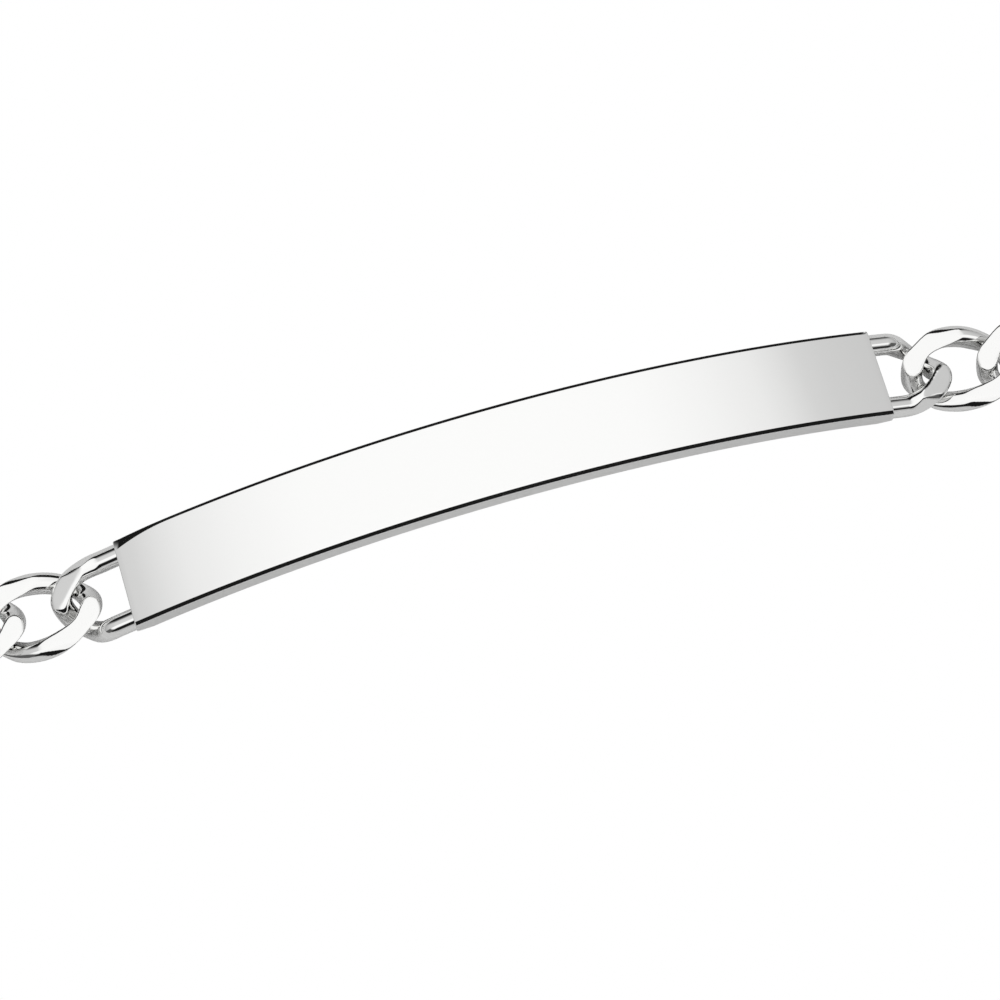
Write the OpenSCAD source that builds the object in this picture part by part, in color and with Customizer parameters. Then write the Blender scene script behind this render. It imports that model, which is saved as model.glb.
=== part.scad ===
// Identity bracelet in silver: an arched name plate on a flat diamond-cut curb chain.
// The whole closed loop lies on a table. X runs along the plate, Y goes back, Z is up.

/* [Name plate] */
// Width of the plate and of the chain beside it
band_w = 4.65; // [4:0.05:6.5]
// Straight distance between the plate's ends
plate_l = 40.3; // [36:0.1:46]
// Thickness of the plate
plate_t = 1.45; // [1.25:0.05:2.2]
// Radius of the plate's arched top
arch_r = 45.6; // [40:0.2:70]
// Chamfer along the plate's long top edges
top_chamfer = 0.22; // [0.1:0.02:0.4]
// Chamfer along the plate's long lower edges
low_chamfer = 0.12; // [0.05:0.01:0.3]

/* [Curb links] */
// Outer length of a link
link_l = 6.55; // [6.25:0.05:7.5]
// Diameter of the wire before the flats are cut
wire_d = 1.14; // [0.9:0.02:1.2]
// Gap between two linked wires
link_gap = 0.24; // [0.2:0.01:0.34]
// Height of the chain between its upper and lower flats
chain_t = 1.1; // [1:0.05:1.5]

/* [Loops soldered to the plate and the clasp] */
// How far a loop stands out of the end that it is soldered to
loop_out = 4.5; // [3.8:0.1:5.2]
// Depth to which the loop's two bars are sunk into that end
loop_sink = 0.35; // [0.2:0.05:0.6]
// Height of the plate's joint above the joints of the links that lie flat
joint_lift = 0.45; // [0.4:0.05:0.7]

/* [Jump rings beside the clasp] */
// Outer length of a jump ring
ring_l = 4.8; // [4.5:0.1:6]
// Diameter of its wire
ring_wire_d = 0.85; // [0.7:0.05:1]

/* [Clasp] */
// Length of the clasp's body
clasp_l = 7; // [6:0.5:10]
// Radius of the body's upright corners
clasp_corner_r = 1; // [0.5:0.1:1.8]
// Chamfer round the body's top and bottom
clasp_chamfer = 0.4; // [0.2:0.05:0.6]
// Thickness of the body
clasp_t = 1.9; // [1.6:0.1:2.6]

/* [Hidden] */
// Links between the plate and the clasp, on each side
side_links = 18;
// Stations round a whole link and sides of its wire
link_stations = 14;
wire_sides = 6;
// Squareness of a link's outline: 1 is an ellipse, less is squarer
outline_power = 0.82;
// Turn of a link's closed ends, and of a jump ring's, about the chain
link_twist = 50;
ring_twist = 28;
// Share of the plate joint's height that each joint keeps of the one before it
lift_kept = 0.22;
// Corners of the route along which the chain is laid, and their radius, in pitches of the links.
// Each is counted from halfway between the plate's middle and the joint on the corner's own side.
// The two far corners move back together until the route is as long as the chain.
right_corners = [[7.2, -0.67], [8.45, 5.24]];
left_corners = [[-4.455, 10.1], [-8.57, 0.424]];
corner_pitches = 3.24;
// Least and greatest number of pitches that the far corners move back, and tries that narrow it down
least_back = -4;
most_back = 20;
back_tries = 30;
// Steps that draw one corner's arc
corner_steps = 14;
// Smoothness of the plate's arc and of small round corners
$fn = 96;

function link_name(k) = str("link_", k < 10 ? "0" : "", k);
link_count = 2 * side_links;

// Middle line of a link's wire, and the pitch from joint to joint
link_mid = [link_l - wire_d, band_w - wire_d];
link_overlap = wire_d + link_gap;
link_pitch = link_mid.x - link_overlap;
flat_z = chain_t / 2;

// Jump ring: round in plan, twisted just enough to clear both neighbours
ring_overlap = (wire_d + ring_wire_d) / 2 + link_gap;
ring_mid = [ring_l - ring_wire_d, ring_l - ring_wire_d];
ring_pitch = ring_mid.x - ring_overlap;

// A soldered loop's closed end, its joint with a link and its joint with a jump ring
loop_end = loop_out - wire_d / 2;
loop_reach = loop_end - link_overlap / 2;
loop_ring_reach = loop_end - ring_overlap / 2;
clasp_pitch = clasp_l + 2 * loop_ring_reach;

// Arch of the plate, seen from the front
arch_mid_r = arch_r - plate_t / 2;
arch_half = asin(plate_l / 2 / arch_r);
end_face = [arch_mid_r * sin(arch_half), flat_z + joint_lift + loop_reach * sin(arch_half)];
arch_centre_z = end_face.y - arch_mid_r * cos(arch_half);
plate_top = arch_centre_z + arch_r;
joint_x = end_face.x + loop_reach * cos(arch_half);

// Lengths of the chain's members in order, from the plate's right end round to its left end
pitches = concat([for (k = [1 : side_links]) link_pitch], [ring_pitch, clasp_pitch, ring_pitch],
                 [for (k = [1 : side_links]) link_pitch]);
function sum_to(list, n) = n == 0 ? 0 : list[n - 1] + sum_to(list, n - 1);
chain_l = sum_to(pitches, len(pitches));
end_ring_place = side_links;
clasp_place = side_links + 1;
clasp_ring_place = side_links + 2;
// Place in the chain of the link with number k
function link_place(k) = k <= side_links ? k - 1 : k + 2;

function unit(v) = v / norm(v);
function signed_power(v, power) = sign(v) * pow(abs(v), power);

// Route of the chain: a polygon through the corners, with each corner rounded to corner_r
corner_r = corner_pitches * link_pitch;
corner_origin = [joint_x / 2, 0];
function corners(back) = [
    [joint_x, 0],
    corner_origin + link_pitch * right_corners[0],
    corner_origin + link_pitch * (right_corners[1] + [0, back]),
    -corner_origin + link_pitch * (left_corners[0] + [0, back]),
    -corner_origin + link_pitch * left_corners[1],
    [-joint_x, 0]];
function corner_arc(before, at, after) =
    let (to = unit(at - before), from = unit(after - at),
         turn = acos(to * from),
         start = at - to * corner_r * tan(turn / 2),
         centre = start + corner_r * [-to.y, to.x],
         heading = atan2(to.y, to.x))
    [for (i = [0 : corner_steps])
        let (a = heading + turn * i / corner_steps) centre + corner_r * [sin(a), -cos(a)]];
function route(back) =
    let (c = corners(back), last = len(c) - 1)
    concat([c[0]], [for (i = [1 : last - 1]) each corner_arc(c[i - 1], c[i], c[i + 1])], [c[last]]);
function steps(points) = [for (i = [1 : len(points) - 1]) norm(points[i] - points[i - 1])];
function running(list, i = 0, total = 0) =
    i == len(list) ? [total] : concat([total], running(list, i + 1, total + list[i]));
function route_l(back) = let (s = steps(route(back))) sum_to(s, len(s));
function find_back(low, high, tries) =
    let (between = (low + high) / 2)
    tries <= 0 ? between
               : route_l(between) > chain_l ? find_back(low, between, tries - 1)
                                            : find_back(between, high, tries - 1);

route_points = route(find_back(least_back, most_back, back_tries));
route_run = running(steps(route_points));
route_x = [for (i = [0 : len(route_points) - 1]) [route_run[i], route_points[i].x]];
route_y = [for (i = [0 : len(route_points) - 1]) [route_run[i], route_points[i].y]];

// Joints between the members, which rise towards the plate's loops at both ends
joint_run = running(pitches);
last_joint = len(pitches);
joints = [for (i = [0 : last_joint])
    [lookup(joint_run[i], route_x), lookup(joint_run[i], route_y),
     flat_z + joint_lift * pow(lift_kept, min(i, last_joint - i))]];

// Turn of a twisted ring about its long axis at angle t, and the middle line of its wire there
function turn_at(t, twist) = -twist * cos(t);
function twisted(t, mid, twist) =
    let (y = mid.y / 2 * signed_power(sin(t), outline_power), turn = turn_at(t, twist))
    [mid.x / 2 * signed_power(cos(t), outline_power), y * cos(turn), y * sin(turn)];
// The wire's outline round point p, turned with the ring
function wire_section(p, along, wire, turn) =
    let (side = unit(cross(along, [0, -sin(turn), cos(turn)])), up = cross(side, along))
    [for (i = [0 : wire_sides - 1])
        let (a = 360 * i / wire_sides) p + wire / 2 * (cos(a) * side + sin(a) * up)];
function ring_points(mid, twist, wire) =
    [for (i = [0 : link_stations - 1])
        let (t = 360 * (i + 0.5) / link_stations,
             along = unit(twisted(t + 1, mid, twist) - twisted(t - 1, mid, twist)))
        each wire_section(twisted(t, mid, twist), along, wire, turn_at(t, twist))];
// Two triangles for each side of the wire between one station and the next
function side_faces(a, b) =
    [for (i = [0 : wire_sides - 1])
        let (j = (i + 1) % wire_sides)
        each [[a + i, b + j, b + i], [a + i, a + j, b + j]]];
function ring_faces() =
    [for (i = [0 : link_stations - 1])
        each side_faces(i * wire_sides, ((i + 1) % link_stations) * wire_sides)];

// Keeps what lies between the flats
module cut_flat() {
    intersection() {
        children();
        translate([-link_l, -band_w, -flat_z]) cube([2 * link_l, 2 * band_w, chain_t]);
    }
}

module twisted_ring(mid, twist, wire) {
    cut_flat() polyhedron(points = ring_points(mid, twist, wire), faces = ring_faces());
}

// Half a link whose two straight bars run back to x = 0, the end that it is soldered to
loop_stations = link_stations / 2;
bar_l = loop_end - link_mid.x / 2;
function loop_angle(i) = -90 + 180 * i / loop_stations;
loop_line = concat(
    [[-loop_sink, -link_mid.y / 2, 0]],
    [for (i = [0 : loop_stations]) twisted(loop_angle(i), link_mid, link_twist) + [bar_l, 0, 0]],
    [[-loop_sink, link_mid.y / 2, 0]]);
loop_last = len(loop_line) - 1;
loop_points = [for (i = [0 : loop_last])
    let (ahead = loop_line[min(i + 1, loop_last)], behind = loop_line[max(i - 1, 0)])
    each wire_section(loop_line[i], unit(ahead - behind), wire_d,
                      i == 0 || i == loop_last ? 0 : turn_at(loop_angle(i - 1), link_twist))];
loop_faces = concat(
    [[for (i = [0 : wire_sides - 1]) wire_sides - 1 - i]],
    [for (i = [0 : loop_last - 1]) each side_faces(i * wire_sides, (i + 1) * wire_sides)],
    [[for (i = [0 : wire_sides - 1]) loop_last * wire_sides + i]]);

module soldered_loop() {
    cut_flat() polyhedron(points = loop_points, faces = loop_faces);
}

// Box of the finished bracelet in plan, which puts its origin in the middle of the table side
function heading_of(i) = let (d = joints[i + 1] - joints[i]) atan2(d.y, d.x);
function turned(p, a) = [p.x * cos(a) - p.y * sin(a), p.x * sin(a) + p.y * cos(a)];
function placed(p, i) =
    turned(p, heading_of(i)) + [joints[i].x + joints[i + 1].x, joints[i].y + joints[i + 1].y] / 2;
link_outline = ring_points(link_mid, link_twist, wire_d);
reach_points = [for (k = [1 : link_count], p = link_outline) placed(p, link_place(k))];
low_corner = [min([for (p = reach_points) p.x]), min([for (p = reach_points) p.y])];
high_corner = [max([for (p = reach_points) p.x]), max([for (p = reach_points) p.y])];
middle = (low_corner + high_corner) / 2;

module about_the_middle() {
    translate([-middle.x, -middle.y, 0]) children();
}

// Puts a member of the chain between its two joints
module at_place(i) {
    span = joints[i + 1] - joints[i];
    translate((joints[i] + joints[i + 1]) / 2)
        rotate([0, -asin(span.z / norm(span)), atan2(span.y, span.x)])
            children();
}

module link(k) {
    color("silver") about_the_middle() at_place(link_place(k))
        twisted_ring(link_mid, link_twist, wire_d);
}

module jump_ring(i) {
    color("lightgray") about_the_middle() at_place(i)
        twisted_ring(ring_mid, ring_twist, ring_wire_d);
}

module end_ring() { jump_ring(end_ring_place); }
module clasp_ring() { jump_ring(clasp_ring_place); }

// Section of the plate: radius against width, chamfered along its four edges
module plate_section() {
    half_w = band_w / 2;
    low_r = arch_r - plate_t;
    polygon([[low_r, -half_w + low_chamfer], [low_r + low_chamfer, -half_w],
             [arch_r - top_chamfer, -half_w], [arch_r, -half_w + top_chamfer],
             [arch_r, half_w - top_chamfer], [arch_r - top_chamfer, half_w],
             [low_r + low_chamfer, half_w], [low_r, half_w - low_chamfer]]);
}

module id_plate() {
    color("gainsboro") about_the_middle() {
        translate([0, 0, arch_centre_z]) rotate([90, 0, 0]) rotate([0, 0, 90 - arch_half])
            rotate_extrude(angle = 2 * arch_half, $fn = 360) plate_section();
        for (turn = [0, 180]) rotate([0, 0, turn])
            translate([end_face.x, 0, end_face.y]) rotate([0, arch_half, 0]) soldered_loop();
    }
}

// Outline of the clasp's body from above, with round corners
module clasp_outline() {
    x = clasp_l / 2 - clasp_corner_r;
    y = band_w / 2 - clasp_corner_r;
    square([clasp_l, 2 * y], center = true);
    square([2 * x, band_w], center = true);
    for (sx = [-1, 1], sy = [-1, 1]) translate([sx * x, sy * y]) circle(r = clasp_corner_r);
}

// Section with chamfered corners, used along the body and across it
module clasp_side(w) {
    polygon([for (q = [[-1, -1], [1, -1], [1, 1], [-1, 1]])
        let (in_x = [q.x * (w / 2 - clasp_chamfer), q.y * clasp_t / 2],
             in_z = [q.x * w / 2, q.y * (clasp_t / 2 - clasp_chamfer)])
        each q.x * q.y > 0 ? [in_z, in_x] : [in_x, in_z]]);
}

module clasp_body() {
    intersection() {
        translate([0, 0, -clasp_t / 2]) linear_extrude(clasp_t) clasp_outline();
        rotate([90, 0, 0]) translate([0, 0, -band_w]) linear_extrude(2 * band_w) clasp_side(clasp_l);
        rotate([90, 0, 90]) translate([0, 0, -clasp_l]) linear_extrude(2 * clasp_l) clasp_side(band_w);
    }
}

module clasp() {
    color("whitesmoke") about_the_middle() at_place(clasp_place) {
        translate([0, 0, clasp_t / 2 - flat_z]) clasp_body();
        for (turn = [0, 180]) rotate([0, 0, turn]) translate([clasp_l / 2, 0, 0]) soldered_loop();
    }
}

id_plate();
end_ring();
clasp();
clasp_ring();
for (k = [1 : link_count]) link(k);
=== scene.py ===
"""A polished silver identity bracelet: the surfaces of its plate, chain and clasp, and its studio."""

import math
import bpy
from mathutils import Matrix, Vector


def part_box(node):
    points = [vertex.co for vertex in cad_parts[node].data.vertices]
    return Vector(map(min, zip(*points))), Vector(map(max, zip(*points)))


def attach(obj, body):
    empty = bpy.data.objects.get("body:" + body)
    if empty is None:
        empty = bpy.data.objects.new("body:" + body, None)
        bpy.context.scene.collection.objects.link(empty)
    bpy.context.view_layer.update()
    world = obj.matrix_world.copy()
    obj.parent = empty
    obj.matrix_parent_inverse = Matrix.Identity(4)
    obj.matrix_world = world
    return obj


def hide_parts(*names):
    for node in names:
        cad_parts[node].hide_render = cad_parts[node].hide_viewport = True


bl_info = {
    "name": "Silver identity bracelet",
    "version": (1, 0, 0),
    "blender": (4, 5, 0),
    "location": "3D View > Sidebar > Bracelet",
    "description": "Models the arched name plate, the curb chain and the clasp, and lights them",
    "category": "Object",
}

import bpy
import numpy as np
from bpy.props import FloatProperty, IntProperty, PointerProperty, StringProperty
from mathutils import Matrix, Vector

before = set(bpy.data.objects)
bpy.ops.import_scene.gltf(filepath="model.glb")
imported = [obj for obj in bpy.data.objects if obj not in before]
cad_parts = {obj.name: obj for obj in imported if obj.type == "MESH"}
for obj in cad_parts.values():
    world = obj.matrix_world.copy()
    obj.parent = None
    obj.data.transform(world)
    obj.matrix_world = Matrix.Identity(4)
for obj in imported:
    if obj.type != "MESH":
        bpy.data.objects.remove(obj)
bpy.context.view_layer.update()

MM = 0.001
ROOT = "root"
PLATE_NODE = "id_plate"
CLASP_NODE = "clasp"
RING_NODES = ("end_ring", "clasp_ring")
LINK_NODES = sorted(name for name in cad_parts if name.startswith("link_"))

# Beyond every reach in the model, and below every size in it
FAR = 1.0
TINY = 1e-7
# Points closer together than this are merged
WELD = 0.001 * MM
# Two directions whose product is above this point the same way
SAME_WAY = 0.999

# Radius of the torus that a ring of wire is shaped from, in thicknesses of the wire
TORUS_RADIUS = 4
# Step over which the heading of a wire's middle line is measured
HEADING_STEP = math.radians(0.5)
# Rounds off the steep start of a power of a sine or cosine
SOFT_START = 0.01
# Share of a half link's hidden half that its bars take, before they turn inwards
BAR_SHARE = 0.8
# Power by which a half link's twist fades in from its untwisted bars
TWIST_FADE = 4

# How many of the cutting planes lie level. These come first
LEVEL_PLANES = 2
# A direction that leans towards a plane by less than this is taken never to meet it
GRAZING = 0.01
# Most that a level cut's chamfer leans, as a share of the angle at which the cut leaves the round wire
CHAMFER_LEAN_SHARE = 0.6
# Most of a level cut's breadth that one of its chamfers takes
CHAMFER_SHARE = 0.25
# Steps in which a wire's outline is measured, and how strongly its points gather where it turns
SECTION_STEPS = 720
TURN_WEIGHT = 0.35

# Edges that turn by more than this are shaded sharp
PLATE_CREASE = math.radians(20)
CLASP_CREASE = math.radians(75)
# Edges that turn by more than this are rounded by the polish
POLISHED_TURN = math.radians(30)
# How much more the large facets count than the narrow ones in the shading
FACET_WEIGHT = 80

# Values that a noise texture seldom passes
NOISE_LOW = 0.3
NOISE_HIGH = 0.7
# Number and depth of the polishing marks. Real ones are finer still, too fine to show
MARKS_PER_MM = 9
MARK_DEPTH = 0.01 * MM

# Brightness of each wall of the light tent, by the lean from straight up, 0, to level, 1. The dark bands
# low on the back and front walls draw the thin black lines along the plate and the links
SIDE_WALL = (
    (0.0, 1.06), (0.32, 1.03), (0.43, 0.96), (0.51, 0.88), (0.55, 0.8), (0.59, 0.7), (0.63, 0.66),
    (0.8, 0.58), (1.0, 0.4))
BACK_WALL = ((0.0, 1.06), (0.64, 1.0), (0.69, 0.01), (0.97, 0.01), (1.0, 0.3))
CORNER_WALL = ((0.0, 1.06), (0.4, 1.04), (0.72, 1.04), (0.8, 0.1), (1.0, 0.1))
FRONT_WALL = ((0.0, 1.06), (0.65, 1.0), (0.69, 0.01), (0.925, 0.01), (0.95, 0.5))
# The walls beside the side wall, each with the headings towards the back at which it starts and is full
WALLS = ((BACK_WALL, 0.45, 0.75), (CORNER_WALL, -0.05, -0.2), (FRONT_WALL, -0.5, -0.65))

# Nearest and farthest that the camera sees
CLIP_START = 0.01
CLIP_END = 50


class PlateSizes(bpy.types.PropertyGroup):
    """The arched plate and the half links soldered to it"""

    length: FloatProperty(
        name="Length", description="Straight distance between the plate's ends",
        default=40.3 * MM, unit="LENGTH")
    width: FloatProperty(
        name="Width", description="Width across the plate", default=4.65 * MM, unit="LENGTH")
    thickness: FloatProperty(
        name="Thickness", description="Thickness of the plate", default=1.45 * MM, unit="LENGTH")
    arch_radius: FloatProperty(
        name="Arch radius", description="Radius of the plate's arched face",
        default=45.6 * MM, unit="LENGTH")
    edge: FloatProperty(
        name="Edge", description="Width of the polished chamfer along the face",
        default=0.16 * MM, unit="LENGTH")
    front_drop: FloatProperty(
        name="Front drop", description="How far that chamfer falls at the front",
        default=0.134 * MM, unit="LENGTH")
    back_drop: FloatProperty(
        name="Back drop", description="How far that chamfer falls at the back",
        default=0.068 * MM, unit="LENGTH")
    wide_length: FloatProperty(
        name="Wide length", description="Length over which it widens towards the back left corner",
        default=3 * MM, unit="LENGTH")
    wide_more: FloatProperty(
        name="Wider by", description="How much wider it is at that corner",
        default=0.42 * MM, unit="LENGTH")
    wide_drop: FloatProperty(
        name="Falls more by", description="How much more it falls at that corner",
        default=0.18 * MM, unit="LENGTH")
    low_edge: FloatProperty(
        name="Low edge", description="Width of the chamfer along the underside",
        default=0.12 * MM, unit="LENGTH")
    polish: FloatProperty(
        name="Polish", description="Width of the polished sharp edges",
        default=0.05 * MM, unit="LENGTH")
    polish_steps: IntProperty(
        name="Polish steps", description="Faces across a polished edge", default=2)
    arch_steps: IntProperty(name="Arch steps", description="Faces along the arch", default=120)
    loop_out: FloatProperty(
        name="Loop reach", description="How far a soldered half link stands out",
        default=4.5 * MM, unit="LENGTH")
    loop_sink: FloatProperty(
        name="Loop sink", description="Depth of its bars in the solder",
        default=0.35 * MM, unit="LENGTH")


class ChainSizes(bpy.types.PropertyGroup):
    """The curb links"""

    length: FloatProperty(
        name="Length", description="Outer length of a link", default=6.55 * MM, unit="LENGTH")
    width: FloatProperty(
        name="Width", description="Outer width of a link", default=4.65 * MM, unit="LENGTH")
    wire: FloatProperty(
        name="Wire", description="Thickness of the round wire", default=1.12 * MM, unit="LENGTH")
    height: FloatProperty(
        name="Height", description="Height between the cut flats", default=1.1 * MM, unit="LENGTH")
    twist: FloatProperty(
        name="Twist", description="Turn of a link's closed ends about its long axis",
        default=math.radians(50), subtype="ANGLE")
    squareness: FloatProperty(
        name="Squareness", description="1 is an ellipse, less is squarer",
        default=0.82, min=0, max=1, subtype="FACTOR")
    side_lean: FloatProperty(
        name="Side lean", description="Lean of the cuts along the chain's sides from level",
        default=math.radians(46), subtype="ANGLE")
    side_room: FloatProperty(
        name="Side room", description="From the chain's axis to those cuts",
        default=1.805 * MM, unit="LENGTH")
    loop_top: FloatProperty(
        name="Loop top", description="Height of the flat on a soldered half link",
        default=0.86 * MM, unit="LENGTH")
    loop_room: FloatProperty(
        name="Loop room", description="From the axis to the side cuts of a soldered half link",
        default=1.82 * MM, unit="LENGTH")
    edge: FloatProperty(
        name="Edge", description="Width of the chamfer round a level cut",
        default=0.12 * MM, unit="LENGTH")
    edge_lean: FloatProperty(
        name="Edge lean", description="Lean of that chamfer",
        default=math.radians(30), subtype="ANGLE")
    rim: FloatProperty(
        name="Rim", description="Softness of the edges of the cuts",
        default=0.015 * MM, unit="LENGTH")
    stations: IntProperty(
        name="Stations", description="Sections round a whole link", default=160)
    sides: IntProperty(
        name="Sides", description="Points round a section of the wire", default=56)


class ClaspSizes(bpy.types.PropertyGroup):
    """The clasp and the jump rings on either side of it"""

    length: FloatProperty(
        name="Length", description="Length of the clasp's body", default=7 * MM, unit="LENGTH")
    thickness: FloatProperty(
        name="Thickness", description="Thickness of the body", default=1.9 * MM, unit="LENGTH")
    corner: FloatProperty(
        name="Corner", description="Radius of its upright corners", default=1 * MM, unit="LENGTH")
    corner_steps: IntProperty(
        name="Corner steps", description="Faces round an upright corner", default=8)
    chamfer: FloatProperty(
        name="Chamfer", description="Chamfer round its faces", default=0.4 * MM, unit="LENGTH")
    polish: FloatProperty(
        name="Polish", description="Width of its polished edges", default=0.06 * MM, unit="LENGTH")
    polish_steps: IntProperty(
        name="Polish steps", description="Faces across a polished edge", default=3)
    ring_length: FloatProperty(
        name="Ring length", description="Outer length of a jump ring",
        default=4.8 * MM, unit="LENGTH")
    ring_wire: FloatProperty(
        name="Ring wire", description="Diameter of its wire", default=0.85 * MM, unit="LENGTH")
    ring_twist: FloatProperty(
        name="Ring twist", description="Turn of its ends about the chain",
        default=math.radians(28), subtype="ANGLE")


class Finish(bpy.types.PropertyGroup):
    """Colours and polish of the silver"""

    plate_colour: StringProperty(
        name="Plate", description="Colour of the plated face", default="F7F7F6")
    link_colour: StringProperty(
        name="Links", description="Colour of the cut links", default="F5F5F4")
    clasp_colour: StringProperty(
        name="Clasp", description="Colour of the clasp", default="F1F1EF")
    plate_roughness: FloatProperty(
        name="Plate roughness", description="Roughness of the buffed face",
        default=0.05, min=0, max=1, subtype="FACTOR")
    link_roughness: FloatProperty(
        name="Link roughness", description="Roughness of the cut facets",
        default=0.06, min=0, max=1, subtype="FACTOR")
    clasp_roughness: FloatProperty(
        name="Clasp roughness", description="Roughness of the clasp",
        default=0.1, min=0, max=1, subtype="FACTOR")


class StageSizes(bpy.types.PropertyGroup):
    """Camera and floor"""

    azimuth: FloatProperty(
        name="Azimuth", description="Camera's turn to the left",
        default=math.radians(16.55), subtype="ANGLE")
    elevation: FloatProperty(
        name="Elevation", description="Camera's height above the horizon",
        default=math.radians(72), subtype="ANGLE")
    distance: FloatProperty(
        name="Distance", description="From the camera to the plate's face",
        default=192 * MM, unit="LENGTH")
    lens: FloatProperty(
        name="Lens", description="Focal length in millimetres", default=138.5, unit="CAMERA")
    aim_right: FloatProperty(
        name="Aim right", description="From the plate's middle to the aim, across the picture",
        default=-0.269 * MM, unit="LENGTH")
    aim_up: FloatProperty(
        name="Aim up", description="From the plate's middle to the aim, up the picture",
        default=-2.595 * MM, unit="LENGTH")
    floor_size: FloatProperty(
        name="Floor", description="Side of the floor", default=12.0, unit="LENGTH")
    floor_drop: FloatProperty(
        name="Floor drop", description="How far the floor lies under the bracelet",
        default=0.2 * MM, unit="LENGTH")
    card_drop: FloatProperty(
        name="Card drop", description="How far the card that the metal mirrors lies under it",
        default=0.3 * MM, unit="LENGTH")
    card_colour: StringProperty(
        name="Card", description="Colour of that card", default="DDDDDD")


def linear(hex_colour):
    """sRGB hex to linear red, green, blue and 1."""
    channels = [int(hex_colour[i:i + 2], 16) / 255 for i in (0, 2, 4)]
    return tuple(c / 12.92 if c <= 0.04045 else ((c + 0.055) / 1.055) ** 2.4 for c in channels) + (1.0,)


def deselect_all():
    if bpy.context.object and bpy.context.object.mode != "OBJECT":
        bpy.ops.object.mode_set(mode="OBJECT")
    bpy.ops.object.select_all(action="DESELECT")


def only(obj):
    """Makes obj the one selected and active object."""
    deselect_all()
    obj.select_set(True)
    bpy.context.view_layer.objects.active = obj


def select_where(obj, kind, test):
    """In edit mode, selects the vertices, edges or faces that pass the test."""
    bpy.ops.mesh.select_mode(type=kind)
    bpy.ops.mesh.select_all(action="DESELECT")
    bpy.ops.object.mode_set(mode="OBJECT")
    mesh = obj.data
    items = {"VERT": mesh.vertices, "EDGE": mesh.edges, "FACE": mesh.polygons}[kind]
    for item in items:
        item.select = bool(test(item))
    bpy.ops.object.mode_set(mode="EDIT")


def apply_modifier(obj, kind, name, **settings):
    modifier = obj.modifiers.new(name, kind)
    for key, value in settings.items():
        setattr(modifier, key, value)
    only(obj)
    bpy.ops.object.modifier_apply(modifier=modifier.name)


def copy_of(obj, name):
    copy = obj.copy()
    copy.data = obj.data.copy()
    copy.name = name
    bpy.context.scene.collection.objects.link(copy)
    return copy


def place(obj, matrix):
    """Writes the placing into the mesh, so that the object stays at the origin."""
    obj.data.transform(matrix)
    obj.matrix_world = Matrix.Identity(4)


def solder(obj, part):
    """Joins a part to obj as one closed surface."""
    apply_modifier(obj, "BOOLEAN", "solder", operation="UNION", solver="EXACT", object=part)
    bpy.data.objects.remove(part)


def smooth_over(obj, crease):
    """Shades facets flat and what rounds the edges between them smooth."""
    only(obj)
    bpy.ops.object.mode_set(mode="EDIT")
    bpy.ops.mesh.select_all(action="SELECT")
    bpy.ops.mesh.normals_make_consistent(inside=False)
    bpy.ops.object.mode_set(mode="OBJECT")
    bpy.ops.object.shade_smooth_by_angle(angle=crease)
    apply_modifier(obj, "WEIGHTED_NORMAL", "flat facets", keep_sharp=True, weight=FACET_WEIGHT)


def lie_of(node):
    """How a CAD member of the chain lies: its middle, and its long, cross and upward axes."""
    points = np.array([vertex.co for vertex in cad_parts[node].data.vertices], float)
    middle = points.mean(0)
    _, axes = np.linalg.eigh(np.cov((points - middle).T))
    along = Vector(axes[:, 2])
    up = Vector(axes[:, 0])
    if up.z < 0:
        up.negate()
    if along.x < 0:
        along.negate()
    across = up.cross(along)
    turn = Matrix((along, across, up)).transposed().to_4x4()
    return Matrix.Translation(Vector(middle)) @ turn


def finish_piece(obj, name, material, slot_name, *nodes):
    """Names a piece, gives it its silver and lets it stand for its CAD nodes."""
    obj.name = name
    obj.data.name = name
    obj.data.materials.clear()
    obj.data.materials.append(material)
    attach(obj, ROOT)
    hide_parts(*nodes)


def add_node(tree, kind, inputs=None, **settings):
    """Adds a node with its own settings, then links or sets each input by its name or number."""
    node = tree.nodes.new(kind)
    for key, value in settings.items():
        setattr(node, key, value)
    for key, value in (inputs or {}).items():
        if isinstance(value, bpy.types.NodeSocket):
            tree.links.new(value, node.inputs[key])
        else:
            node.inputs[key].default_value = value
    return node


def new_material(name):
    material = bpy.data.materials.new(name)
    material.use_nodes = True
    material.node_tree.nodes.clear()
    return material


def silver(name, colour, roughness, haze_mm, haze, marks):
    """A bright metal whose roughness varies by the share haze over haze_mm, with fine polishing marks."""
    material = new_material(name)
    tree = material.node_tree
    position = add_node(tree, "ShaderNodeTexCoord").outputs["Object"]
    cloud = add_node(
        tree, "ShaderNodeTexNoise", {"Vector": position, "Scale": 1 / (haze_mm * MM), "Detail": 3.0})
    spread = add_node(tree, "ShaderNodeMapRange", {
        "Value": cloud.outputs["Fac"], "From Min": NOISE_LOW, "From Max": NOISE_HIGH,
        "To Min": roughness * (1 - haze), "To Max": roughness * (1 + haze)})
    grain = add_node(
        tree, "ShaderNodeTexNoise", {"Vector": position, "Scale": MARKS_PER_MM / MM, "Detail": 2.0})
    bump = add_node(tree, "ShaderNodeBump", {
        "Height": grain.outputs["Fac"], "Strength": marks, "Distance": MARK_DEPTH})
    metal = add_node(tree, "ShaderNodeBsdfPrincipled", {
        "Base Color": linear(colour), "Metallic": 1.0, "Roughness": spread.outputs["Result"],
        "Normal": bump.outputs["Normal"]})
    add_node(tree, "ShaderNodeOutputMaterial", {"Surface": metal.outputs["BSDF"]})
    return material


def plate_silver(finish):
    # Sterling silver, buffed to a mirror and rhodium plated: neutral, very bright, almost without haze.
    return silver(
        "rhodium_plated_silver", finish.plate_colour, finish.plate_roughness,
        haze_mm=6.0, haze=0.3, marks=0.02)


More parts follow.
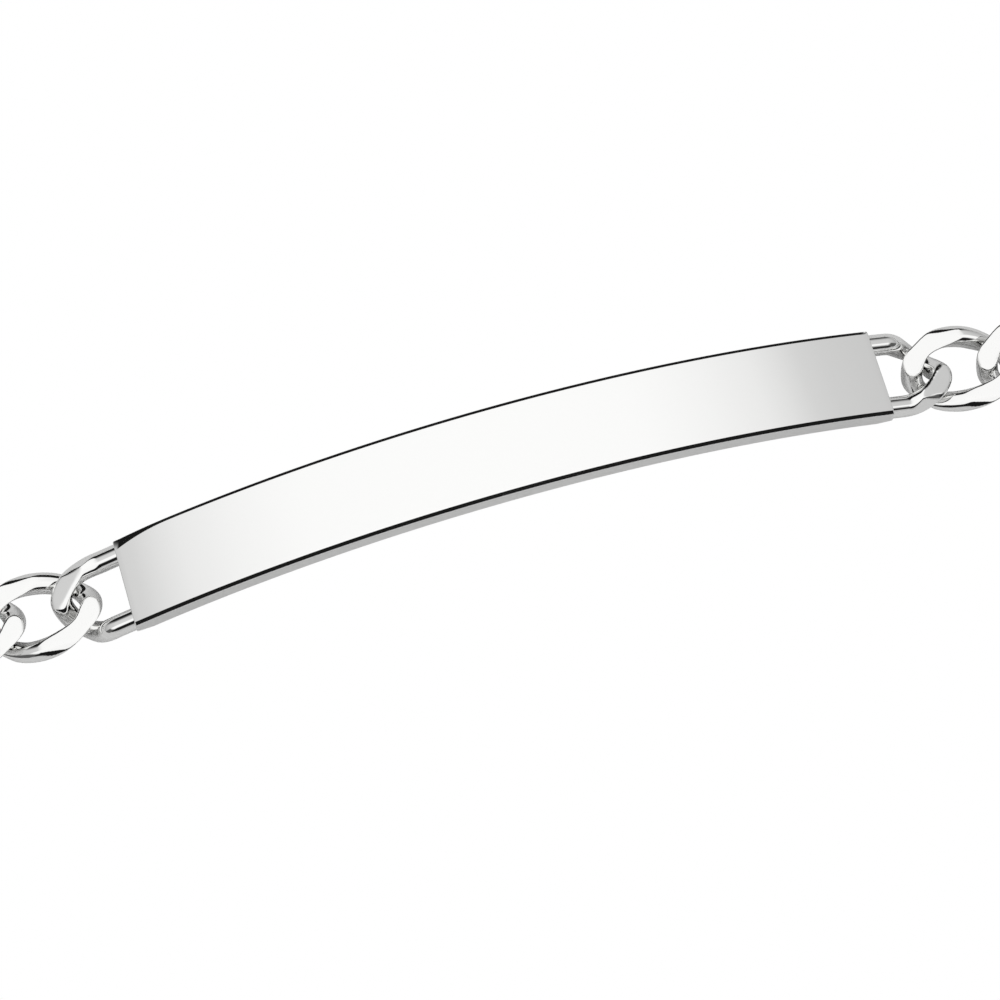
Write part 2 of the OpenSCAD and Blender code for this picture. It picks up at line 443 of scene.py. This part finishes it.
def link_silver(finish):
    # Sterling silver cut with a diamond tool: mirror-bright facets with the finest tool marks.
    return silver(
        "diamond_cut_silver", finish.link_colour, finish.link_roughness,
        haze_mm=2.0, haze=0.35, marks=0.04)


def clasp_silver(finish):
    # Sterling silver, tumbled and polished: softer reflections than the cut links.
    return silver(
        "tumbled_silver", finish.clasp_colour, finish.clasp_roughness,
        haze_mm=3.0, haze=0.4, marks=0.06)


def white_acrylic():
    # White acrylic lit from below: a floor without shade or edge.
    material = new_material("white_acrylic")
    glow = add_node(material.node_tree, "ShaderNodeEmission", {"Strength": 1.0})
    add_node(material.node_tree, "ShaderNodeOutputMaterial", {"Surface": glow.outputs["Emission"]})
    return material


def pale_card(colour):
    # Matt card: an even pale grey where the metal mirrors what lies under it.
    material = new_material("pale_card")
    matt = add_node(material.node_tree, "ShaderNodeBsdfDiffuse", {"Color": linear(colour)})
    add_node(material.node_tree, "ShaderNodeOutputMaterial", {"Surface": matt.outputs["BSDF"]})
    return material


def soft_power(value, power):
    """A signed power without the steep start at zero."""
    return value * (value * value + SOFT_START) ** ((power - 1) / 2)


def ring_point(t, turn, half_length, half_width, squareness):
    """The point at t of a ring's middle line, turned about the long axis, and that turn."""
    across = half_width * soft_power(math.sin(t), squareness)
    x = half_length * soft_power(math.cos(t), squareness)
    return Vector((x, across * math.cos(turn), across * math.sin(turn))), turn


def ring_middle(t, half_length, half_width, twist, squareness):
    """Middle of a twisted ring's wire, x along the chain and y across it, and the wire's turn there."""
    return ring_point(t, -twist * math.cos(t), half_length, half_width, squareness)


def half_link_middle(t, half_length, half_width, twist, squareness, bar, bar_run):
    """The same for a closed end whose straight bars run back over bar_run and then meet."""
    if abs(t) <= math.pi / 2:
        share = math.cos(t)
        turn = -twist * share * (1 - (1 - share) ** TWIST_FADE)
        middle, turn = ring_point(t, turn, half_length, half_width, squareness)
        return middle + Vector((bar, 0, 0)), turn
    back = abs(t) / (math.pi / 2) - 1
    run = min(back / BAR_SHARE, 1.0)
    across = max(0.0, back - BAR_SHARE) / (1 - BAR_SHARE)
    return Vector((bar - run * bar_run, math.copysign(half_width, t) * (1 - across), 0)), 0.0


def cutting_planes(chain, top, side_room):
    """The planes that cut the wire: level ones above and below, and leaning ones along the sides."""
    planes = [(np.array((0.0, 0.0, 1.0)), top), (np.array((0.0, 0.0, -1.0)), chain.height / 2)]
    for y in (1, -1):
        for z in (1, -1):
            normal = np.array((0.0, y * math.sin(chain.side_lean), z * math.cos(chain.side_lean)))
            planes.append((normal, side_room))
    return planes


def section_centre(middle, along, radius, planes):
    """A point midway in what the planes leave of the wire's section, from the wire's middle."""
    centre = np.zeros(3)
    for normal, distance in planes:
        inward = (normal @ along) * along - normal
        inward = inward / np.linalg.norm(inward)
        room = (distance - (middle + centre) @ normal) / -(inward @ normal)
        far_side = math.sqrt(radius ** 2 - centre @ centre + (centre @ inward) ** 2) - centre @ inward
        centre = centre + inward * max(0.0, (far_side - room) / 2)
    return centre


def reach_to(normal, room, directions):
    """How far each direction runs until it meets the plane that lies room away along its normal."""
    towards = directions @ normal
    return np.where(towards > GRAZING, room / np.maximum(towards, GRAZING), FAR)


def chamfer_planes(level, first, last, wire, chain):
    """The chamfer at each end of a level cut that runs from first to last: its normal and its room."""
    breadth = np.linalg.norm(last - first)
    inset = min(chain.edge, breadth * CHAMFER_SHARE)
    lean = min(chain.edge_lean, CHAMFER_LEAN_SHARE * math.asin(min(1.0, breadth / wire)))
    planes = []
    for corner, other in ((first, last), (last, first)):
        outward = (corner - other) / breadth
        normal = math.cos(lean) * level + math.sin(lean) * outward
        planes.append((normal, (corner - inset * outward) @ normal))
    return planes


def gathered(points, count):
    """Count points along a closed outline, closer together where it turns."""
    runs = np.diff(points, axis=0)
    lengths = np.linalg.norm(runs, axis=1)
    headings = runs / lengths[:, None]
    turns = np.arccos(np.clip((headings * np.roll(headings, 1, axis=0)).sum(1), -1, 1))
    weights = lengths / lengths.sum() + TURN_WEIGHT * turns / turns.sum()
    run = np.concatenate(([0], np.cumsum(weights)))
    wanted = np.arange(count) * run[-1] / count
    return np.stack([np.interp(wanted, run, points[:, k]) for k in range(3)], 1)


def cut_section(middle, side, up, wire, planes, chain):
    """Outline of a round wire cut by planes, its edges softened and its level cuts chamfered."""
    radius = wire / 2
    along = np.cross(side, up)
    centre = section_centre(middle, along, radius, planes)
    angle = np.linspace(0, math.tau, SECTION_STEPS + 1)
    directions = np.outer(np.cos(angle), side) + np.outer(np.sin(angle), up)
    offset = directions @ centre
    reaches = [np.sqrt(offset ** 2 + radius ** 2 - centre @ centre) - offset]
    for normal, distance in planes:
        reaches.append(reach_to(normal, distance - (middle + centre) @ normal, directions))
    for number, (normal, _) in enumerate(planes[:LEVEL_PLANES], 1):
        cut = np.flatnonzero(np.argmin(reaches, axis=0) == number)
        if len(cut) < 2:
            continue
        gaps = np.diff(cut)
        if gaps.max() > 1:
            cut = np.roll(cut, -np.argmax(gaps) - 1)
        ends = cut[[0, -1]]
        first, last = reaches[number][ends][:, None] * directions[ends]
        level = normal - (normal @ along) * along
        level = level / np.linalg.norm(level)
        for chamfer, room in chamfer_planes(level, first, last, wire, chain):
            reaches.append(reach_to(chamfer, room, directions))
    reaches = np.array(reaches)
    least = reaches.min(0)
    reach = least - chain.rim * np.log(np.exp((least - reaches) / chain.rim).sum(0))
    return middle + gathered(centre + reach[:, None] * directions, chain.sides)


def section_at(t, middle_at, wire, planes, chain):
    """The cut wire's outline where its middle line is at t."""
    middle, turn = middle_at(t)
    along = (middle_at(t + HEADING_STEP)[0] - middle_at(t - HEADING_STEP)[0]).normalized()
    upright = Vector((0, -math.sin(turn), math.cos(turn)))
    outward = along.cross(upright).normalized()
    up = outward.cross(along)
    return cut_section(np.array(middle), np.array(outward), np.array(up), wire, planes, chain)


def wire_ring(name, middle_at, wire, planes, chain):
    """A torus reshaped so that its tube is the cut wire along the middle line and turns with it."""
    deselect_all()
    stations, sides = chain.stations, chain.sides
    radius = TORUS_RADIUS * wire
    bpy.ops.mesh.primitive_torus_add(
        major_segments=stations, minor_segments=sides, major_radius=radius, minor_radius=wire / 2)
    ring = bpy.context.object
    ring.name = name
    sections = []
    for station in range(stations):
        t = math.remainder(station / stations * math.tau, math.tau)
        sections.append(section_at(t, middle_at, wire, planes, chain))
    for vertex in ring.data.vertices:
        x, y, z = vertex.co
        station = round(math.atan2(y, x) / math.tau * stations) % stations
        side = round(math.atan2(z, math.hypot(x, y) - radius) / math.tau * sides) % sides
        vertex.co = sections[station][side]
    return ring


def link_shape(chain):
    return (chain.length - chain.wire) / 2, (chain.width - chain.wire) / 2, chain.twist, chain.squareness


def whole_link(chain):
    shape = link_shape(chain)
    planes = cutting_planes(chain, chain.height / 2, chain.side_room)
    link = wire_ring("link", lambda t: ring_middle(t, *shape), chain.wire, planes, chain)
    only(link)
    bpy.ops.object.shade_smooth()
    return link


def half_link(chain, loop_out, loop_sink):
    """The closed half of a link, with straight bars that run back to x = 0 and into the solder."""
    bar = loop_out - chain.length / 2
    shape = link_shape(chain) + (bar, bar + loop_sink + chain.wire)
    planes = cutting_planes(chain, chain.loop_top, chain.loop_room)
    loop = wire_ring("half link", lambda t: half_link_middle(t, *shape), chain.wire, planes, chain)
    only(loop)
    bpy.ops.object.mode_set(mode="EDIT")
    bpy.ops.mesh.select_all(action="SELECT")
    bpy.ops.mesh.bisect(
        plane_co=(-loop_sink, 0, 0), plane_no=(-1, 0, 0), use_fill=True, clear_outer=True, threshold=TINY)
    bpy.ops.object.mode_set(mode="OBJECT")
    return loop


def jump_ring(sizes, chain):
    """A round, lightly twisted ring, cut level above and below only."""
    reach = (sizes.ring_length - sizes.ring_wire) / 2
    shape = (reach, reach, sizes.ring_twist, chain.squareness)
    planes = cutting_planes(chain, chain.height / 2, FAR)
    ring = wire_ring("ring", lambda t: ring_middle(t, *shape), sizes.ring_wire, planes, chain)
    only(ring)
    bpy.ops.object.shade_smooth()
    return ring


class BRACELET_OT_plate(bpy.types.Operator):
    """Model the arched name plate with the half link soldered to each of its ends"""

    bl_idname = "bracelet.plate"
    bl_label = "Name plate"

    def execute(self, context):
        sizes = context.scene.plate_sizes
        low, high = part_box(PLATE_NODE)
        middle = (low + high) / 2
        half_angle = math.asin(sizes.length / 2 / sizes.arch_radius)
        centre_z = high.z - sizes.arch_radius
        plate = self.end_section(context, sizes)
        self.sweep(plate, sizes, half_angle)
        self.widen_chamfer(plate, sizes)
        self.finish_ends(plate, sizes)
        place(plate, Matrix.Translation((0, 0, centre_z)))
        self.solder_loops(plate, sizes, context.scene.chain_sizes, half_angle, centre_z)
        smooth_over(plate, PLATE_CREASE)
        place(plate, Matrix.Translation((middle.x, middle.y, 0)))
        finish_piece(plate, "name_plate", plate_silver(context.scene.finish), "silver_plate", PLATE_NODE)
        return {"FINISHED"}

    def end_section(self, context, sizes):
        """The plate's outline across its width, upright over the arch's axis, with its chamfers."""
        deselect_all()
        bpy.ops.mesh.primitive_plane_add(size=1, rotation=(0, math.radians(90), 0))
        plate = context.object
        bpy.ops.object.transform_apply()
        for vertex in plate.data.vertices:
            vertex.co = (0, vertex.co.y * sizes.width, vertex.co.z * sizes.thickness)
        mid_z = sizes.arch_radius - sizes.thickness / 2
        place(plate, Matrix.Translation((0, 0, mid_z)))
        bpy.ops.object.mode_set(mode="EDIT")
        select_where(plate, "VERT", lambda vertex: vertex.co.z > mid_z)
        bpy.ops.mesh.bevel(offset=sizes.edge, segments=1, affect="VERTICES")
        select_where(plate, "VERT", lambda vertex: vertex.co.z < mid_z - sizes.thickness / 4)
        bpy.ops.mesh.bevel(offset=sizes.low_edge, segments=1, affect="VERTICES")
        bpy.ops.object.mode_set(mode="OBJECT")
        for vertex in plate.data.vertices:
            if vertex.co.z > mid_z and abs(vertex.co.y) > sizes.width / 2 - sizes.edge / 2:
                vertex.co.z += sizes.edge - (sizes.back_drop if vertex.co.y > 0 else sizes.front_drop)
        return plate

    def sweep(self, plate, sizes, half_angle):
        """Spins the section along the arch into a closed bar, and leaves its two ends selected."""
        plate.data.transform(Matrix.Rotation(half_angle, 4, "Y"))
        bpy.ops.object.mode_set(mode="EDIT")
        bpy.ops.mesh.select_all(action="SELECT")
        bpy.ops.mesh.spin(
            steps=sizes.arch_steps, angle=2 * half_angle, center=(0, 0, 0), axis=(0, 1, 0),
            use_normal_flip=False)
        bpy.ops.mesh.select_all(action="SELECT")
        bpy.ops.mesh.remove_doubles(threshold=WELD)
        bpy.ops.mesh.normals_make_consistent(inside=False)
        select_where(plate, "FACE", lambda face: self.is_end(face, half_angle))
        bpy.ops.object.mode_set(mode="OBJECT")

    def is_end(self, face, half_angle):
        """Whether a face of the arched bar closes one of its ends."""
        outward = Vector((math.copysign(math.cos(half_angle), face.center.x), 0, -math.sin(half_angle)))
        return len(face.vertices) > 4 and face.normal.dot(outward) > SAME_WAY

    def widen_chamfer(self, plate, sizes):
        """Widens the chamfer along the face towards the back left corner."""
        inner = sizes.width / 2 - sizes.edge
        for vertex in plate.data.vertices:
            x, y, z = vertex.co
            near = 1 - (x + sizes.length / 2) / sizes.wide_length
            height = math.hypot(x, z) - sizes.arch_radius
            if near > 0 and y > inner - TINY and height > -2 * sizes.back_drop:
                share = min(near, 1) ** 2
                if y < inner + TINY:
                    vertex.co.y -= sizes.wide_more * share
                else:
                    vertex.co *= 1 - sizes.wide_drop * share / vertex.co.length

    def finish_ends(self, plate, sizes):
        """Cuts the selected ends upright and rounds their edges."""
        for face in plate.data.polygons:
            if face.select:
                for index in face.vertices:
                    vertex = plate.data.vertices[index]
                    vertex.co.x = math.copysign(sizes.length / 2, vertex.co.x)
        bpy.ops.object.mode_set(mode="EDIT")
        bpy.ops.mesh.bevel(offset=sizes.polish, segments=sizes.polish_steps, affect="EDGES")
        bpy.ops.object.mode_set(mode="OBJECT")

    def solder_loops(self, plate, sizes, chain, half_angle, centre_z):
        """Joins a half link to each end of the plate, in line with the arch there."""
        mid_radius = sizes.arch_radius - sizes.thickness / 2
        seat = Vector((mid_radius * math.sin(half_angle), 0, centre_z + mid_radius * math.cos(half_angle)))
        tilt = Matrix.Rotation(half_angle, 4, "Y")
        right = half_link(chain, sizes.loop_out, sizes.loop_sink)
        left = copy_of(right, "other half link")
        place(right, Matrix.Translation(seat) @ tilt)
        place(left, Matrix.Rotation(math.pi, 4, "Z") @ Matrix.Translation(seat) @ tilt)
        solder(plate, right)
        solder(plate, left)


class BRACELET_OT_chain(bpy.types.Operator):
    """Model one diamond-cut curb link and lay a copy of it where each link of the chain lies"""

    bl_idname = "bracelet.chain"
    bl_label = "Curb chain"

    def execute(self, context):
        model = whole_link(context.scene.chain_sizes)
        material = link_silver(context.scene.finish)
        for node in LINK_NODES:
            link = copy_of(model, node)
            place(link, lie_of(node))
            finish_piece(link, "cut_" + node, material, "silver_links", node)
        bpy.data.objects.remove(model)
        return {"FINISHED"}


class BRACELET_OT_clasp(bpy.types.Operator):
    """Model the clasp and the jump ring on either side of it"""

    bl_idname = "bracelet.clasp"
    bl_label = "Clasp and jump rings"

    def execute(self, context):
        sizes = context.scene.clasp_sizes
        chain = context.scene.chain_sizes
        material = clasp_silver(context.scene.finish)
        clasp = self.body(context, sizes, chain)
        self.solder_loops(clasp, context.scene.plate_sizes, sizes, chain)
        apply_modifier(
            clasp, "BEVEL", "polish", width=sizes.polish, segments=sizes.polish_steps,
            limit_method="ANGLE", angle_limit=POLISHED_TURN, use_clamp_overlap=True,
            harden_normals=False)
        smooth_over(clasp, CLASP_CREASE)
        lie = lie_of(CLASP_NODE)
        lie.translation.z = chain.height / 2
        place(clasp, lie)
        finish_piece(clasp, "plain_clasp", material, "silver_clasp", CLASP_NODE)
        model = jump_ring(sizes, chain)
        for node in RING_NODES:
            ring = copy_of(model, node)
            place(ring, lie_of(node))
            finish_piece(ring, "jump_" + node, material, "silver_clasp", node)
        bpy.data.objects.remove(model)
        return {"FINISHED"}

    def body(self, context, sizes, chain):
        """The clasp's plain block, with round corners and chamfered faces, standing as low as the links."""
        deselect_all()
        bpy.ops.mesh.primitive_cube_add(size=1)
        body = context.object
        mesh = body.data
        for vertex in mesh.vertices:
            vertex.co = (
                vertex.co.x * sizes.length, vertex.co.y * chain.width, vertex.co.z * sizes.thickness)
        bpy.ops.object.mode_set(mode="EDIT")
        select_where(body, "EDGE", lambda edge: self.is_upright(edge, mesh))
        bpy.ops.mesh.bevel(offset=sizes.corner, segments=sizes.corner_steps, affect="EDGES")
        select_where(body, "FACE", lambda face: abs(face.normal.z) > SAME_WAY)
        bpy.ops.mesh.bevel(offset=sizes.chamfer, segments=1, affect="EDGES")
        bpy.ops.object.mode_set(mode="OBJECT")
        place(body, Matrix.Translation((0, 0, (sizes.thickness - chain.height) / 2)))
        return body

    def is_upright(self, edge, mesh):
        first, last = (mesh.vertices[index].co for index in edge.vertices)
        return abs(first.z - last.z) > MM

    def solder_loops(self, clasp, plate_sizes, sizes, chain):
        """Joins a half link, like those of the plate, to each end of the clasp."""
        loop = half_link(chain, plate_sizes.loop_out, plate_sizes.loop_sink)
        for turn in (0, math.pi):
            part = copy_of(loop, "clasp loop")
            place(part, Matrix.Rotation(turn, 4, "Z") @ Matrix.Translation((sizes.length / 2, 0, 0)))
            solder(clasp, part)
        bpy.data.objects.remove(loop)


class BRACELET_OT_stage(bpy.types.Operator):
    """Set up the camera, the pale floor and the soft light"""

    bl_idname = "bracelet.stage"
    bl_label = "Stage"

    def execute(self, context):
        sizes = context.scene.stage_sizes
        self.camera(context, sizes)
        self.floor(sizes)
        self.light_tent(context)
        context.scene.view_settings.view_transform = "Standard"
        return {"FINISHED"}

    def camera(self, context, sizes):
        """Aims the camera at the plate, at the photograph's angle above the floor."""
        low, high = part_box(PLATE_NODE)
        face = Vector(((low.x + high.x) / 2, (low.y + high.y) / 2, high.z))
        level = math.cos(sizes.elevation)
        back = Vector((
            -math.sin(sizes.azimuth) * level, -math.cos(sizes.azimuth) * level, math.sin(sizes.elevation)))
        right = Vector((0, 0, 1)).cross(back).normalized()
        up = back.cross(right)
        eye = face + back * sizes.distance
        aim = face + right * sizes.aim_right + up * sizes.aim_up
        bpy.ops.object.camera_add(location=eye)
        camera = context.object
        camera.rotation_mode = "QUATERNION"
        camera.rotation_quaternion = (aim - eye).to_track_quat("-Z", "Y")
        camera.data.lens = sizes.lens
        camera.data.clip_start = CLIP_START
        camera.data.clip_end = CLIP_END
        context.scene.camera = camera

    def floor(self, sizes):
        """Lays a floor that only the camera sees, and under it a card that only the metal mirrors."""
        floor = self.sheet("floor", sizes.floor_size, sizes.floor_drop, white_acrylic())
        floor.visible_glossy = False
        floor.visible_diffuse = False
        floor.visible_shadow = False
        card = self.sheet("mirrored_floor", sizes.floor_size, sizes.card_drop, pale_card(sizes.card_colour))
        card.visible_camera = False

    def sheet(self, name, size, drop, material):
        bpy.ops.mesh.primitive_plane_add(size=size, location=(0, 0, -drop))
        sheet = bpy.context.object
        sheet.name = name
        sheet.data.materials.append(material)
        return sheet

    def light_tent(self, context):
        """Lights the world as a tent whose walls blend into each other, white to the camera."""
        world = bpy.data.worlds.new("light tent")
        context.scene.world = world
        world.use_nodes = True
        tree = world.node_tree
        tree.nodes.clear()
        direction = add_node(tree, "ShaderNodeTexCoord").outputs["Generated"]
        height = add_node(tree, "ShaderNodeSeparateXYZ", {"Vector": direction}).outputs["Z"]
        angle = add_node(tree, "ShaderNodeMath", {0: height}, operation="ARCCOSINE").outputs[0]
        lean = add_node(tree, "ShaderNodeMath", {0: angle, 1: math.pi / 2}, operation="DIVIDE").outputs[0]
        level = add_node(tree, "ShaderNodeVectorMath", {0: direction, 1: (1, 1, 0)}, operation="MULTIPLY")
        heading = add_node(tree, "ShaderNodeVectorMath", {0: level.outputs[0]}, operation="NORMALIZE")
        to_back = add_node(tree, "ShaderNodeSeparateXYZ", {"Vector": heading.outputs[0]}).outputs["Y"]
        light = self.wall(tree, lean, SIDE_WALL)
        for stops, start, full in WALLS:
            share = add_node(
                tree, "ShaderNodeMapRange", {"Value": to_back, "From Min": start, "From Max": full},
                interpolation_type="SMOOTHSTEP")
            light = add_node(
                tree, "ShaderNodeMix",
                {"Factor": share.outputs["Result"], "A": light, "B": self.wall(tree, lean, stops)},
                data_type="RGBA").outputs["Result"]
        tent = add_node(tree, "ShaderNodeBackground", {"Color": light})
        white = add_node(tree, "ShaderNodeBackground", {"Color": (1, 1, 1, 1)})
        rays = add_node(tree, "ShaderNodeLightPath")
        shown = add_node(tree, "ShaderNodeMixShader", {
            0: rays.outputs["Is Camera Ray"], 1: tent.outputs[0], 2: white.outputs[0]})
        add_node(tree, "ShaderNodeOutputWorld", {"Surface": shown.outputs[0]})

    def wall(self, tree, lean, stops):
        """How bright one wall of the tent is, by the lean from straight up."""
        ramp = add_node(tree, "ShaderNodeValToRGB", {"Fac": lean})
        elements = ramp.color_ramp.elements
        while len(elements) < len(stops):
            elements.new(0.5)
        for element, (position, brightness) in zip(elements, stops):
            element.position = position
            element.color = (brightness, brightness, brightness, 1)
        return ramp.outputs["Color"]


class BRACELET_PT_panel(bpy.types.Panel):
    """Lists the bracelet's sizes and finishes, and the steps that build it"""

    bl_idname = "BRACELET_PT_panel"
    bl_label = "Identity bracelet"
    bl_space_type = "VIEW_3D"
    bl_region_type = "UI"
    bl_category = "Bracelet"

    def draw(self, context):
        for name in GROUPS:
            box = self.layout.box()
            group = getattr(context.scene, name)
            for key in group.__annotations__:
                box.prop(group, key)
        for operator in OPERATORS:
            self.layout.operator(operator.bl_idname)


GROUPS = {
    "plate_sizes": PlateSizes,
    "chain_sizes": ChainSizes,
    "clasp_sizes": ClaspSizes,
    "finish": Finish,
    "stage_sizes": StageSizes,
}
OPERATORS = (BRACELET_OT_plate, BRACELET_OT_chain, BRACELET_OT_clasp, BRACELET_OT_stage)


def register():
    for name, group in GROUPS.items():
        bpy.utils.register_class(group)
        setattr(bpy.types.Scene, name, PointerProperty(type=group))
    for operator in OPERATORS:
        bpy.utils.register_class(operator)
    bpy.utils.register_class(BRACELET_PT_panel)


def unregister():
    bpy.utils.unregister_class(BRACELET_PT_panel)
    for operator in reversed(OPERATORS):
        bpy.utils.unregister_class(operator)
    for name, group in GROUPS.items():
        delattr(bpy.types.Scene, name)
        bpy.utils.unregister_class(group)


def main():
    register()
    bpy.ops.bracelet.stage()
    bpy.ops.bracelet.plate()
    bpy.ops.bracelet.chain()
    bpy.ops.bracelet.clasp()


if __name__ == "__main__":
    main()
